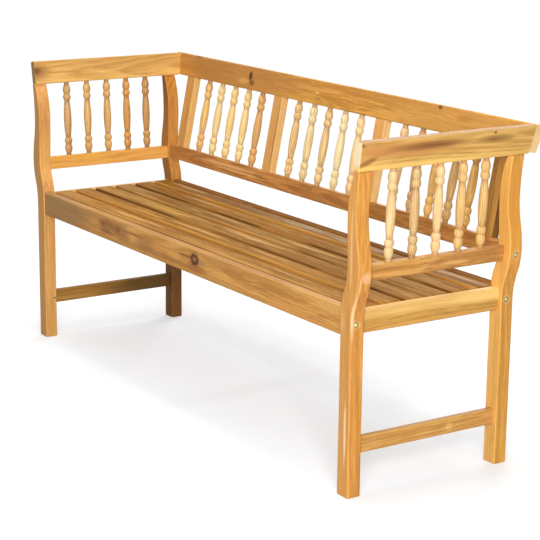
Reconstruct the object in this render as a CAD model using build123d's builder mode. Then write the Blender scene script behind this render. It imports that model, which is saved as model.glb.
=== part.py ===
from build123d import *
from math import cos, radians, sin
import os

os.makedirs("parts", exist_ok=True)

# A three-seat hardwood garden bench with turned spindles in its back and arms, in millimetres.
# X runs along the bench, the sitter faces -Y and Z is up. The origin is on the floor, in the
# middle of the bench's box. The end pieces are modelled on the right (+X) and mirrored.

# Whole bench
bench_length = 1501.0  # over the outer faces of the feet
footprint_depth = 444.0  # front of the front posts to back of the rear posts
seat_height = 414.0  # top of the slats
fit = 0.15  # play round tenons, dowels, spindle ends and fasteners
end_room = 0.5  # room at the bottom of a blind hole
edge_round = 3.0  # rounding along boards, rails and slats
edge_ease = 1.5  # rounding of small edges

# Posts: S-shaped from the front, straight from the end of the bench
post_depth = 34.5
post_round = 3.5
foot_width = 40.0
foot_chamfer = 2.0
outer_bend_drop = 28.0  # where the outer face starts to swing out, below the slats' top
inner_bend_drop = 6.0  # the same for the inner face
bulge_rise = 89.0  # above the slats' top
bulge_out = 22.5  # outer face beyond the foot's outer face
bulge_width = 42.5
waist_rise = 201.0
waist_out = 8.5
waist_width = 31.5
post_top_out = 18.0
post_top_width = 18.0
side_set_in = 10.5  # side rails' and stretchers' outer faces, behind the feet's

# Seat
front_rail_height = 64.0
front_rail_step = 5.0  # its top above the slats
front_rail_set_back = 3.2  # its face behind the front posts' faces
back_rail_height = 60.0
back_rail_step = 1.0
back_rail_set_back = 5.0
side_rail_height = 51.0
side_rail_drop = 2.0  # its top below the slats
side_rail_thickness = 20.0
seat_rail_thickness = 20.0
slat_count = 6
slat_gap = 15.0
slat_thickness = 16.0
front_slat_gap = 17.5
rear_slat_gap = 8.0
slat_end_gap = 1.0
cleat_width = 25.0
bearer_height = 25.0  # cleats and centre bearer
bearer_width = 40.0
bearer_tenon_width = 30.0
bearer_tenon_height = 15.0
bearer_tenon_length = 8.0

# Leg stretchers
stretcher_z = 94.0  # underside above the floor
stretcher_height = 37.0
stretcher_thickness = 16.0
stretcher_tenon_height = 26.0
stretcher_tenon_thickness = 8.0
stretcher_tenon_length = 18.0

# Arms
arm_rail_rise = 62.0  # underside above the slats' top
arm_rail_height = 34.4
arm_rail_thickness = 18.5
arm_rail_set_in = 2.5  # inner face behind the posts' inner faces
arm_tenon_height = 20.0
arm_tenon_thickness = 8.0
arm_tenon_length = 10.0
arm_spindle_lean = 2.95  # outwards, degrees
arm_spindle_clear = 203.4
arm_spindle_count = 5
arm_board_lean = 10.0  # outwards, degrees
arm_board_thickness = 20.0
arm_spindle_inboard = 9.0  # spindles' line to the board's inner face, along its underside

# Back
back_lean = 11.0  # backwards, degrees
back_set_in = 0.8  # lower rail's front edge behind the rear posts' front faces
lower_rail_rise = 65.5  # underside above the slats' top
lower_rail_height = 38.5
lower_rail_housing = 3.0  # let into the posts
top_rail_height = 62.7
back_rails_thickness = 22.0
back_spindle_clear = 202.0
bay_count = 3
bay_spindles = 5
stile_width = 39.5
stile_thickness = 21.0
stile_end_gap = 30.0  # post to outer stile
stile_tenon_width = 27.0
stile_tenon_thickness = 8.0

# Spindles: neck, teardrop, groove and bead at each end of a swelling body
neck_radius = 6.8
neck_length = 7.0
drop_radius = 10.4
drop_height = 21.0  # from the shoulder to the fullest point
groove_radius = 7.7
groove_height = 31.5
bead_radius = 10.5
bead_height = 41.0
body_end_radius = 7.0
body_end_height = 50.0
body_radius = 10.5
socket_depth = 10.0

# Fasteners
bolt_radius = 3.0
bolt_length = 75.0
bolt_head_radius = 5.0
bolt_head_height = 6.0
bolt_socket_width = 5.0  # across the flats
bolt_socket_depth = 3.5
counterbore_radius = 6.3
counterbore_depth = 8.0
nut_radius = 5.0
nut_length = 14.0
nut_set_back = 30.0  # from the end of the rail
dowel_radius = 4.0
dowel_short_end = 12.0  # in the post
dowel_long_end = 18.0  # in the rail
seat_bolt_drop = 29.0  # below the slats' top
back_bolt_drop = 5.0  # below the middle of the back's lower rail
back_bolt_back = 3.5  # behind it
end_dowel_spread = 22.0  # from the bolt, at the long rails
side_dowel_spread = 9.0  # from the middle of the side rail
arm_dowel_inboard = 13.0
arm_dowel_spread = 8.0
pin_radius = 2.5
pin_length = 27.0
pin_set_in = 6.8  # from the shoulder of the stretcher
screw_radius = 2.0
screw_head_radius = 4.0
screw_head_height = 2.5
screw_tip = 4.0
seat_screw_length = 35.0
arm_screw_length = 50.0
arm_screw_edge = 16.0  # from the top and bottom of the arm board

# Heights and places along X that follow from those sizes
outer_x = bench_length / 2
inner_x = outer_x - foot_width
bulge_z = seat_height + bulge_rise
bulge_outer_x = outer_x + bulge_out
bulge_inner_x = bulge_outer_x - bulge_width
waist_z = seat_height + waist_rise
slat_bottom_z = seat_height - slat_thickness
bearer_z = slat_bottom_z - bearer_height
side_outer_x = outer_x - side_set_in
side_inner_x = side_outer_x - side_rail_thickness
side_rail_x = side_outer_x - side_rail_thickness / 2
side_rail_z = seat_height - side_rail_drop - side_rail_height / 2
seat_bolt_z = seat_height - seat_bolt_drop
front_rail_z = seat_height + front_rail_step - front_rail_height / 2
back_rail_z = seat_height + back_rail_step - back_rail_height / 2
lower_rail_z = seat_height + lower_rail_rise
lower_rail_end_x = bulge_inner_x - lower_rail_housing
top_rail_slope = lower_rail_height + back_spindle_clear  # up the back's slope

# Places along Y: the leaning top rail reaches past the rear posts, so the box's middle lies
# behind the middle of the posts
back_slope = top_rail_slope + top_rail_height
back_reach = back_slope * sin(radians(back_lean)) + back_rails_thickness * cos(radians(back_lean))
corner_loss = edge_round * (sin(radians(back_lean)) + cos(radians(back_lean)) - 1)
bench_depth = footprint_depth - post_depth + back_set_in + back_reach - corner_loss
front_y = -bench_depth / 2
rear_y = front_y + footprint_depth
post_middle_y = (front_y + rear_y) / 2
front_joint_y = front_y + post_depth
rear_joint_y = rear_y - post_depth
front_rail_back_y = front_y + front_rail_set_back + seat_rail_thickness
front_rail_y = front_rail_back_y - seat_rail_thickness / 2
back_rail_front_y = rear_joint_y + back_rail_set_back
back_rail_y = back_rail_front_y + seat_rail_thickness / 2
slat_space = back_rail_front_y - front_rail_back_y - front_slat_gap - rear_slat_gap
slat_pitch = (slat_space + slat_gap) / slat_count
slat_width = slat_pitch - slat_gap
slat_ys = [
    front_rail_back_y + front_slat_gap + slat_width / 2 + number * slat_pitch
    for number in range(slat_count)
]

# The leaning back: X along the bench, Y through its thickness to the rear, Z up its slope. Its
# origin is the lower rail's front bottom edge.
back_panel = Plane(
    origin=(0, rear_joint_y + back_set_in, lower_rail_z),
    x_dir=(1, 0, 0),
    z_dir=(0, sin(radians(back_lean)), cos(radians(back_lean))),
)
back_face = Plane(origin=back_panel.origin, x_dir=(1, 0, 0), z_dir=back_panel.y_dir)
back_middle = back_rails_thickness / 2


def leaning_plane(x, z, lean):
    """Right-hand plane with X outwards, Y to the rear and Z up a line that leans outwards."""
    return Plane(
        origin=(x, post_middle_y, z),
        x_dir=(cos(radians(lean)), 0, -sin(radians(lean))),
        z_dir=(sin(radians(lean)), 0, cos(radians(lean))),
    )


# The line of the arm spindles, from the middle of the arm's lower rail
arm_line = leaning_plane(
    bulge_inner_x + arm_rail_set_in + arm_rail_thickness / 2,
    seat_height + arm_rail_rise + arm_rail_height / 2,
    arm_spindle_lean,
)
arm_rail_top = arm_rail_height / 2
arm_top = arm_line.from_local_coords((0, 0, arm_rail_top + arm_spindle_clear))

# The underside of the arm board, with its origin on the board's inner edge
arm_seat = leaning_plane(
    arm_top.X - arm_spindle_inboard * cos(radians(arm_board_lean)),
    arm_top.Z + arm_spindle_inboard * sin(radians(arm_board_lean)),
    arm_board_lean,
)
arm_outer_face = Plane(
    origin=arm_seat.from_local_coords((arm_board_thickness, 0, 0)), z_dir=arm_seat.x_dir
)

# The arm boards are as high as the front edge of the top rail
back_top_z = lower_rail_z + back_slope * cos(radians(back_lean))
arm_board_height = (back_top_z - arm_seat.origin.Z) / cos(radians(arm_board_lean))

# Spindle and stile places
side_span = rear_joint_y - front_joint_y
arm_spindle_pitch = side_span / (arm_spindle_count + 1)
arm_spindle_ys = [
    (number - (arm_spindle_count - 1) / 2) * arm_spindle_pitch
    for number in range(arm_spindle_count)
]
outer_stile_x = lower_rail_end_x - stile_end_gap - stile_width / 2
bay_pitch = 2 * outer_stile_x / bay_count
stile_xs = [bay * bay_pitch - outer_stile_x for bay in range(bay_count + 1)]
back_spindle_pitch = (bay_pitch - stile_width) / (bay_spindles + 1)
back_spindle_xs = [
    stile_x + stile_width / 2 + (number + 1) * back_spindle_pitch
    for stile_x in stile_xs[:-1]
    for number in range(bay_spindles)
]


# ---- Joints: each is cut or added from its place along the place's +Z -----------------------


def back_place(x, z, y=back_middle):
    """Place on the back, upright along its slope."""
    return back_panel.location * Pos(x, y, z)


def turned_over(place):
    """The same place, looking the other way."""
    return place * Rot(180, 0, 0)


def tenon(place, width, height, length):
    with Locations(place):
        Box(width, height, length, align=(Align.CENTER, Align.CENTER, Align.MIN))


def mortise(place, width, height, length):
    with Locations(place):
        Box(
            width + 2 * fit,
            height + 2 * fit,
            length + end_room,
            align=(Align.CENTER, Align.CENTER, Align.MIN),
            mode=Mode.SUBTRACT,
        )


def bore(place, radius, depth):
    """Blind hole for a round piece."""
    with Locations(turned_over(place)):
        Hole(radius + fit, depth=depth + end_room)


def screw(places, length, play=0.0, mode=Mode.ADD):
    """Countersunk wood screws, or with some play the holes that they need."""
    shank_length = length - screw_head_height - screw_tip
    with Locations(*places):
        Cone(
            screw_head_radius + play,
            screw_radius + play,
            screw_head_height,
            align=(Align.CENTER, Align.CENTER, Align.MIN),
            mode=mode,
        )
    with Locations(*[place * Pos(0, 0, screw_head_height) for place in places]):
        Cylinder(
            screw_radius + play,
            shank_length,
            align=(Align.CENTER, Align.CENTER, Align.MIN),
            mode=mode,
        )
    with Locations(*[place * Pos(0, 0, length - screw_tip) for place in places]):
        Cone(
            screw_radius + play,
            play,
            screw_tip + play,
            align=(Align.CENTER, Align.CENTER, Align.MIN),
            mode=mode,
        )


def screw_holes(places, length):
    screw(places, length, play=fit, mode=Mode.SUBTRACT)


def save(piece, name):
    """Label a finished piece and write it to its own file."""
    piece.part.label = name
    export_step(piece.part, f"parts/{name}.step")


def save_pair(right_piece, name, number=""):
    """Write a right-hand piece and its mirror image."""
    save(right_piece, f"{name}_right{number}")
    with BuildPart() as left_piece:
        mirror(right_piece.part, about=Plane.YZ)
    save(left_piece, f"{name}_left{number}")


# ---- Places of the joints on the right-hand side --------------------------------------------

# The posts' inner sides, with the way from the rails into the post
rows = {"front": (front_joint_y, -1), "rear": (rear_joint_y, 1)}


def side_place(row, x, z):
    """Shoulder of a side piece at a post."""
    joint_y, way = rows[row]
    return Plane(origin=(x, joint_y, z), x_dir=(1, 0, 0), z_dir=(0, way, 0)).location


def long_place(x, y, z):
    """Place on a long rail or a post, looking to the right."""
    return Plane(origin=(x, y, z), x_dir=(0, 1, 0), z_dir=(1, 0, 0)).location


stretcher_x = side_outer_x - stretcher_thickness / 2
stretcher_middle_z = stretcher_z + stretcher_height / 2
stretcher_joints = {row: side_place(row, stretcher_x, stretcher_middle_z) for row in rows}
arm_rail_joints = {
    row: Plane(
        origin=(arm_line.origin.X, joint_y, arm_line.origin.Z),
        x_dir=arm_line.x_dir,
        z_dir=(0, way, 0),
    ).location
    for row, (joint_y, way) in rows.items()
}
side_rail_dowels = {
    row: [
        side_place(row, side_rail_x, side_rail_z + spread)
        for spread in (-side_dowel_spread, side_dowel_spread)
    ]
    for row in rows
}
long_rail_dowels = {
    row: [
        long_place(inner_x, y, seat_bolt_z + spread)
        for spread in (-end_dowel_spread, end_dowel_spread)
    ]
    for row, y in (("front", front_rail_y), ("rear", back_rail_y))
}
arm_dowels = {
    row: [
        arm_seat.location * Pos(arm_dowel_inboard, post_y - post_middle_y + spread, 0)
        for spread in (-arm_dowel_spread, arm_dowel_spread)
    ]
    for row, post_y in (
        ("front", front_joint_y - post_depth / 2),
        ("rear", rear_joint_y + post_depth / 2),
    )
}
stretcher_pins = {
    row: long_place(inner_x, joint_y + way * pin_set_in, stretcher_middle_z)
    for row, (joint_y, way) in rows.items()
}

# Bolted joints: where the bolt enters the post, and where the rail it pulls in ends
lower_rail_bolt = back_panel.from_local_coords(
    (0, back_middle + back_bolt_back, lower_rail_height / 2 - back_bolt_drop)
)
front_bolt = (long_place(outer_x, front_rail_y, seat_bolt_z), inner_x)
seat_back_bolt = (long_place(outer_x, back_rail_y, seat_bolt_z), inner_x)
back_bolt = (
    long_place(bulge_outer_x, lower_rail_bolt.Y, lower_rail_bolt.Z),
    lower_rail_end_x,
)
post_bolts = {"front": [front_bolt], "rear": [seat_back_bolt, back_bolt]}


def bolt_bore(bolt):
    """Hole in the end of a long rail for the end of its bolt."""
    entry, rail_end_x = bolt
    in_post = entry.position.X - counterbore_depth - rail_end_x
    with Locations(Pos(rail_end_x - entry.position.X, 0, 0) * entry):
        Hole(bolt_radius + fit, depth=bolt_length - in_post + end_room)


def nut_place(bolt, way):
    """Middle of a barrel nut, looking the way it is pushed in."""
    entry, rail_end_x = bolt
    middle = (rail_end_x - nut_set_back, entry.position.Y, entry.position.Z)
    return Plane(origin=middle, x_dir=(1, 0, 0), z_dir=way).location


def nut_bore(place, thickness):
    """Hole for a barrel nut from the face of a rail."""
    bore(place * Pos(0, 0, -thickness / 2), nut_radius, (thickness + nut_length) / 2)


front_nut = nut_place(front_bolt, (0, -1, 0))
seat_back_nut = nut_place(seat_back_bolt, (0, 1, 0))
back_nut = nut_place(back_bolt, -back_panel.y_dir)

# Screws
cleat_screw_ys = [sum(slat_ys) / slat_count + step * slat_pitch for step in (-2, 0, 2)]
cleat_screws = [
    long_place(side_inner_x - cleat_width, y, bearer_z + bearer_height / 2)
    for y in cleat_screw_ys
]
cleat_screw_x = side_inner_x - cleat_width / 2
cleat_slat_screws = [Pos(cleat_screw_x, y, bearer_z) for y in slat_ys]
bearer_slat_screws = [Pos(0, y, bearer_z) for y in slat_ys]
arm_screws = []
for height in (arm_screw_edge, arm_board_height - arm_screw_edge):
    board_point = arm_seat.from_local_coords((arm_board_thickness / 2, 0, height))
    slope = (board_point.Z - lower_rail_z) / cos(radians(back_lean))
    arm_screws.append(back_place(board_point.X, slope, back_rails_thickness) * Rot(90, 0, 0))


# ---- Posts ----------------------------------------------------------------------------------


def ogee(start, end):
    """Two equal arcs that leave the start and reach the end upright."""
    middle = (Vector(*start) + Vector(*end)) / 2
    lower_arc = TangentArc(start, middle, tangent=(0, 1))
    TangentArc(middle, end, tangent=lower_arc % 1)


def post_side(foot_x, bend_z, bulge_x, waist_x, top_x):
    """One side of a post: straight up, out to the bulge, in to the waist and out to the arm."""
    Line((foot_x, 0), (foot_x, bend_z))
    ogee((foot_x, bend_z), (bulge_x, bulge_z))
    ogee((bulge_x, bulge_z), (waist_x, waist_z))
    TangentArc((waist_x, waist_z), (top_x, arm_seat.origin.Z), tangent=(0, 1))


waist_outer_x = outer_x + waist_out
post_top_outer_x = outer_x + post_top_out
post_top_inner_x = post_top_outer_x - post_top_width
for row, (joint_y, way) in rows.items():
    with BuildPart() as post:
        with BuildSketch(Plane.XZ.offset(-joint_y)):
            with BuildLine():
                post_side(
                    outer_x,
                    seat_height - outer_bend_drop,
                    bulge_outer_x,
                    waist_outer_x,
                    post_top_outer_x,
                )
                post_side(
                    inner_x,
                    seat_height - inner_bend_drop,
                    bulge_inner_x,
                    waist_outer_x - waist_width,
                    post_top_inner_x,
                )
                Line((inner_x, 0), (outer_x, 0))
                Line(
                    (post_top_inner_x, arm_seat.origin.Z),
                    (post_top_outer_x, arm_seat.origin.Z),
                )
            make_face()
        extrude(amount=-way * post_depth)
        long_edges = post.faces().filter_by(Axis.Y).edges().filter_by(Axis.X, reverse=True)
        fillet(long_edges, radius=post_round)
        chamfer(post.faces().sort_by(Axis.Z)[0].edges(), length=foot_chamfer)
        split(bisect_by=arm_seat, keep=Keep.BOTTOM)
        mortise(
            stretcher_joints[row],
            stretcher_tenon_thickness,
            stretcher_tenon_height,
            stretcher_tenon_length,
        )
        mortise(arm_rail_joints[row], arm_tenon_thickness, arm_tenon_height, arm_tenon_length)
        for place in side_rail_dowels[row] + long_rail_dowels[row]:
            bore(place, dowel_radius, dowel_short_end)
        for place in arm_dowels[row]:
            bore(turned_over(place), dowel_radius, dowel_long_end)
        bore(stretcher_pins[row], pin_radius, pin_length)
        for entry, _ in post_bolts[row]:
            with Locations(entry):
                CounterBoreHole(bolt_radius + fit, counterbore_radius, counterbore_depth)
        if row == "rear":
            with BuildSketch(back_panel):
                with Locations((0, back_middle)):
                    Rectangle(2 * lower_rail_end_x, back_rails_thickness + 2 * fit)
            extrude(amount=lower_rail_height + fit, mode=Mode.SUBTRACT)
    save_pair(post, f"{row}_post")


# ---- Pieces between the front and the rear post ---------------------------------------------

# Leg stretcher, outer face in line with the seat's side rail
with BuildPart() as leg_stretcher:
    with BuildSketch(Plane.XZ.offset(-rear_joint_y)):
        with Locations((stretcher_x, stretcher_middle_z)):
            Rectangle(stretcher_thickness, stretcher_height)
    extrude(amount=side_span)
    fillet(leg_stretcher.edges().filter_by(Axis.Y), radius=edge_round)
    for row in rows:
        tenon(
            stretcher_joints[row],
            stretcher_tenon_thickness,
            stretcher_tenon_height,
            stretcher_tenon_length,
        )
        bore(stretcher_pins[row], pin_radius, pin_length)
save_pair(leg_stretcher, "leg_stretcher")

# Side rail of the seat, with two dowels at each end
with BuildPart() as seat_side_rail:
    with BuildSketch(Plane.XZ.offset(-rear_joint_y)):
        with Locations((side_rail_x, side_rail_z)):
            Rectangle(side_rail_thickness, side_rail_height)
    extrude(amount=side_span)
    fillet(seat_side_rail.edges().filter_by(Axis.Y), radius=edge_round)
    for places in side_rail_dowels.values():
        for place in places:
            bore(turned_over(place), dowel_radius, dowel_long_end)
    screw_holes(cleat_screws, seat_screw_length)
save_pair(seat_side_rail, "seat_side_rail")

# Lower rail of the arm, square to the spindles that stand in it
arm_spindle_seats = [
    Plane(
        origin=arm_line.from_local_coords((0, y, arm_rail_top)),
        x_dir=arm_line.x_dir,
        z_dir=arm_line.z_dir,
    )
    for y in arm_spindle_ys
]
with BuildPart() as arm_lower_rail:
    with BuildSketch(arm_line.offset(-arm_rail_top)):
        Rectangle(arm_rail_thickness, side_span)
    extrude(amount=arm_rail_height)
    fillet(arm_lower_rail.edges().filter_by(Axis.Y), radius=edge_ease)
    for place in arm_rail_joints.values():
        tenon(place, arm_tenon_thickness, arm_tenon_height, arm_tenon_length)
    for seat in arm_spindle_seats:
        bore(turned_over(seat.location), neck_radius, socket_depth)
save_pair(arm_lower_rail, "arm_lower_rail")

# Arm board, cut off by the front face of the leaning back
with BuildPart() as arm_board:
    with BuildSketch(arm_seat):
        with Locations((0, front_y - post_middle_y)):
            Rectangle(arm_board_thickness, bench_length, align=(Align.MIN, Align.MIN))
    extrude(amount=arm_board_height)
    split(bisect_by=back_face, keep=Keep.BOTTOM)
    fillet(arm_board.edges().filter_by(Axis.Y), radius=edge_round)
    fillet(arm_board.faces().sort_by(Axis.Y)[0].edges(), radius=edge_ease)
    for seat in arm_spindle_seats:
        bore(seat.location, neck_radius, arm_spindle_clear + socket_depth)
    for places in arm_dowels.values():
        for place in places:
            bore(place, dowel_radius, dowel_short_end)
    screw_holes(arm_screws, arm_screw_length)
save_pair(arm_board, "arm_board")


# ---- Spindles -------------------------------------------------------------------------------


def turned_spindle(seat, clear_length):
    """Spindle turned about the seat's Z, the same at both ends, that stands in a socket."""
    middle = clear_length / 2
    drop = (drop_radius, drop_height)
    groove = (groove_radius, groove_height)
    bead = (bead_radius, bead_height)
    body_end = (body_end_radius, body_end_height)
    upright = Plane(origin=seat.origin, x_dir=seat.x_dir, z_dir=-seat.y_dir)
    with BuildPart() as spindle:
        with BuildSketch(upright):
            with BuildLine():
                Line((0, -socket_depth), (neck_radius, -socket_depth))
                Line((neck_radius, -socket_depth), (neck_radius, neck_length))
                TangentArc(drop, (neck_radius, neck_length), tangent=(0, -1))
                TangentArc(drop, groove, tangent=(0, 1))
                TangentArc(bead, groove, tangent=(0, -1))
                TangentArc(bead, body_end, tangent=(0, 1))
                TangentArc((body_radius, middle), body_end, tangent=(0, -1))
                mirror(about=Plane.XZ.offset(-middle))
                Line((0, -socket_depth), (0, clear_length + socket_depth))
            make_face()
        revolve(axis=Axis(seat.origin, seat.z_dir))
    return spindle


for number, seat in enumerate(arm_spindle_seats, start=1):
    save_pair(turned_spindle(seat, arm_spindle_clear), "arm_spindle", f"_{number}")

back_spindle_seats = [
    Plane(
        origin=back_panel.from_local_coords((x, back_middle, lower_rail_height)),
        x_dir=back_panel.x_dir,
        z_dir=back_panel.z_dir,
    )
    for x in back_spindle_xs
]
for number, seat in enumerate(back_spindle_seats, start=1):
    save(turned_spindle(seat, back_spindle_clear), f"back_spindle_{number}")


# ---- Back -----------------------------------------------------------------------------------

# Stiles, tenoned into both rails
for number, x in enumerate(stile_xs, start=1):
    with BuildPart() as stile:
        with BuildSketch(back_panel.offset(lower_rail_height)):
            with Locations((x, back_middle)):
                Rectangle(stile_width, stile_thickness)
        extrude(amount=back_spindle_clear)
        upright_edges = stile.edges().filter_by(Axis(back_panel.origin, back_panel.z_dir))
        fillet(upright_edges, radius=edge_ease)
        for place in (turned_over(back_place(x, lower_rail_height)), back_place(x, top_rail_slope)):
            tenon(place, stile_tenon_width, stile_tenon_thickness, socket_depth)
    save(stile, f"back_stile_{number}")

# Lower rail, let into the rear posts and bolted
with BuildPart() as back_lower_rail:
    with BuildSketch(back_panel):
        with Locations((0, back_middle)):
            Rectangle(lower_rail_end_x, back_rails_thickness, align=(Align.MIN, Align.CENTER))
    extrude(amount=lower_rail_height)
    fillet(back_lower_rail.edges().filter_by(Axis.X), radius=edge_ease)
    bolt_bore(back_bolt)
    nut_bore(back_nut, back_rails_thickness)
    mirror(about=Plane.YZ)
    for x in back_spindle_xs:
        bore(turned_over(back_place(x, lower_rail_height)), neck_radius, socket_depth)
    for x in stile_xs:
        mortise(
            turned_over(back_place(x, lower_rail_height)),
            stile_tenon_width,
            stile_tenon_thickness,
            socket_depth,
        )
save(back_lower_rail, "back_lower_rail")

# Top rail, cut off in line with the outer faces of the arm boards
with BuildPart() as back_top_rail:
    with BuildSketch(back_panel.offset(top_rail_slope)):
        with Locations((0, back_middle)):
            Rectangle(bench_length, back_rails_thickness, align=(Align.MIN, Align.CENTER))
    extrude(amount=top_rail_height)
    split(bisect_by=arm_outer_face, keep=Keep.BOTTOM)
    fillet(back_top_rail.edges().filter_by(Axis.X), radius=edge_round)
    screw_holes(arm_screws, arm_screw_length)
    mirror(about=Plane.YZ)
    for x in back_spindle_xs:
        bore(back_place(x, top_rail_slope), neck_radius, socket_depth)
    for x in stile_xs:
        mortise(
            back_place(x, top_rail_slope),
            stile_tenon_width,
            stile_tenon_thickness,
            socket_depth,
        )
save(back_top_rail, "back_top_rail")


# ---- Seat -----------------------------------------------------------------------------------

# Front and back rail, each dowelled and bolted at the ends, with a mortise for the bearer
bearer_tenon_z = bearer_z + bearer_height / 2
long_rails = {
    "front": (front_rail_y, front_rail_z, front_rail_height, front_bolt, front_nut, -1),
    "rear": (back_rail_y, back_rail_z, back_rail_height, seat_back_bolt, seat_back_nut, 1),
}
bearer_joints = {}
for row, (rail_y, rail_z, rail_height, bolt, nut, way) in long_rails.items():
    inner_face_y = rail_y - way * seat_rail_thickness / 2
    bearer_joints[row] = Plane(
        origin=(0, inner_face_y, bearer_tenon_z), x_dir=(1, 0, 0), z_dir=(0, way, 0)
    ).location
    with BuildPart() as long_rail:
        with BuildSketch(Plane.YZ):
            with Locations((rail_y, rail_z)):
                Rectangle(seat_rail_thickness, rail_height)
        extrude(amount=inner_x)
        fillet(long_rail.edges().filter_by(Axis.X), radius=edge_round)
        for place in long_rail_dowels[row]:
            bore(turned_over(place), dowel_radius, dowel_long_end)
        bolt_bore(bolt)
        nut_bore(nut, seat_rail_thickness)
        mortise(
            bearer_joints[row], bearer_tenon_width, bearer_tenon_height, bearer_tenon_length
        )
        mirror(about=Plane.YZ)
    save(long_rail, {"front": "seat_front_rail", "rear": "seat_back_rail"}[row])

# Slats, screwed from below
slat_end_x = side_inner_x - slat_end_gap
for number, y in enumerate(slat_ys, start=1):
    with BuildPart() as slat:
        with BuildSketch(Plane.YZ.offset(-slat_end_x)):
            with Locations((y, slat_bottom_z)):
                Rectangle(slat_width, slat_thickness, align=(Align.CENTER, Align.MIN))
        extrude(amount=2 * slat_end_x)
        fillet(slat.edges().filter_by(Axis.X), radius=edge_round)
        for x in (-cleat_screw_x, 0, cleat_screw_x):
            screw_holes([Pos(x, y, bearer_z)], seat_screw_length)
    save(slat, f"seat_slat_{number}")

# Cleat under the slats' ends, between the posts and screwed to the side rail
with BuildPart() as seat_cleat:
    with BuildSketch(Plane.XY.offset(bearer_z)):
        with Locations((side_inner_x, front_joint_y + fit)):
            Rectangle(cleat_width, side_span - 2 * fit, align=(Align.MAX, Align.MIN))
    extrude(amount=bearer_height)
    screw_holes(cleat_slat_screws + cleat_screws, seat_screw_length)
save_pair(seat_cleat, "seat_cleat")

# Bearer under the middle of the slats
with BuildPart() as seat_centre_bearer:
    with BuildSketch(Plane.XY.offset(bearer_z)):
        with Locations((0, front_rail_back_y)):
            Rectangle(
                bearer_width,
                back_rail_front_y - front_rail_back_y,
                align=(Align.CENTER, Align.MIN),
            )
    extrude(amount=bearer_height)
    for place in bearer_joints.values():
        tenon(place, bearer_tenon_width, bearer_tenon_height, bearer_tenon_length)
    screw_holes(bearer_slat_screws, seat_screw_length)
save(seat_centre_bearer, "seat_centre_bearer")


# ---- Fasteners ------------------------------------------------------------------------------

# Socket-head bolts, their heads at the bottom of the posts' counterbores
bolts = [front_bolt, seat_back_bolt, back_bolt]
head_seats = [entry * Pos(0, 0, -counterbore_depth) for entry, _ in bolts]
head_tops = [place * Pos(0, 0, bolt_head_height) for place in head_seats]
with BuildPart() as frame_bolts:
    with Locations(*head_seats):
        Cylinder(
            bolt_head_radius, bolt_head_height, align=(Align.CENTER, Align.CENTER, Align.MIN)
        )
        Cylinder(bolt_radius, bolt_length, align=(Align.CENTER, Align.CENTER, Align.MAX))
    with BuildSketch(*[Plane(place) for place in head_tops]):
        RegularPolygon(bolt_socket_width / 2, 6, major_radius=False)
    extrude(amount=-bolt_socket_depth, mode=Mode.SUBTRACT)
    mirror(about=Plane.YZ)
save(frame_bolts, "frame_bolts")

# Barrel nuts, bored across for the bolts
with BuildPart() as barrel_nuts:
    for (entry, _), place in zip(bolts, (front_nut, seat_back_nut, back_nut)):
        with Locations(place):
            Cylinder(nut_radius, nut_length)
        with Locations(Location(place.position, entry.orientation)):
            Cylinder(bolt_radius + fit, 2 * nut_length, mode=Mode.SUBTRACT)
    mirror(about=Plane.YZ)
save(barrel_nuts, "barrel_nuts")

# Dowels, shorter in the post than in the rail
dowel_length = dowel_short_end + dowel_long_end
into_post = [place for row in rows for place in side_rail_dowels[row] + long_rail_dowels[row]]
into_board = [place for row in rows for place in arm_dowels[row]]
with BuildPart() as dowels:
    with Locations(*[place * Pos(0, 0, dowel_short_end) for place in into_post + into_board]):
        Cylinder(dowel_radius, dowel_length, align=(Align.CENTER, Align.CENTER, Align.MAX))
    mirror(about=Plane.YZ)
save(dowels, "dowels")

# Pins through the stretchers' tenons, level with the legs' inner faces
with BuildPart() as tenon_pins:
    with Locations(*stretcher_pins.values()):
        Cylinder(pin_radius, pin_length, align=(Align.CENTER, Align.CENTER, Align.MIN))
    mirror(about=Plane.YZ)
save(tenon_pins, "stretcher_pins")

# Screws up into the slats and out into the side rails
with BuildPart() as seat_screws:
    screw(cleat_slat_screws + cleat_screws, seat_screw_length)
    mirror(about=Plane.YZ)
    screw(bearer_slat_screws, seat_screw_length)
save(seat_screws, "seat_screws")

# Screws through the top rail into the ends of the arm boards
with BuildPart() as arm_board_screws:
    screw(arm_screws, arm_screw_length)
    mirror(about=Plane.YZ)
save(arm_board_screws, "arm_screws")
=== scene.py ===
import bmesh
import bpy
from collections import namedtuple
from math import pi
from mathutils import Matrix, Vector


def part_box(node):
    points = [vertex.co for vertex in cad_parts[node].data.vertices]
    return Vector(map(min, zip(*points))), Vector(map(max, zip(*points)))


# A three-seat garden bench of oiled golden hardwood, in metres: +X is its right-hand end as it is
# looked at from the front, the sitter faces -Y and Z is up. The solids give every shape.
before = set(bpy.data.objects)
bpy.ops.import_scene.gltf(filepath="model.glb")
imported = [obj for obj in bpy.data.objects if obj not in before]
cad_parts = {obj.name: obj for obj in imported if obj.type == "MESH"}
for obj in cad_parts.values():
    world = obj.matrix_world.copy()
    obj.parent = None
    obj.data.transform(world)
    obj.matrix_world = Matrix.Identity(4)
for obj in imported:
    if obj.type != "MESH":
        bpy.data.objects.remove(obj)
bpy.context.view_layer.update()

# Viewpoint: a long lens at the front right, a little above the arms. It looks down a few degrees
# and is turned towards the bench's middle.
view_from = (3.5236, -2.2676, 1.3455)
view_turn, view_dip, view_roll = -0.9902, -0.2408, 0.0113
lens = bpy.data.cameras.new("viewpoint")
lens.lens, lens.sensor_width, lens.clip_end = 113.75, 36.0, 200.0
viewpoint = bpy.data.objects.new("viewpoint", lens)
viewpoint.matrix_world = (
    Matrix.Translation(view_from)
    @ Matrix.Rotation(-view_turn, 4, "Z")
    @ Matrix.Rotation(pi / 2 + view_dip, 4, "X")
    @ Matrix.Rotation(view_roll, 4, "Z")
)
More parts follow.
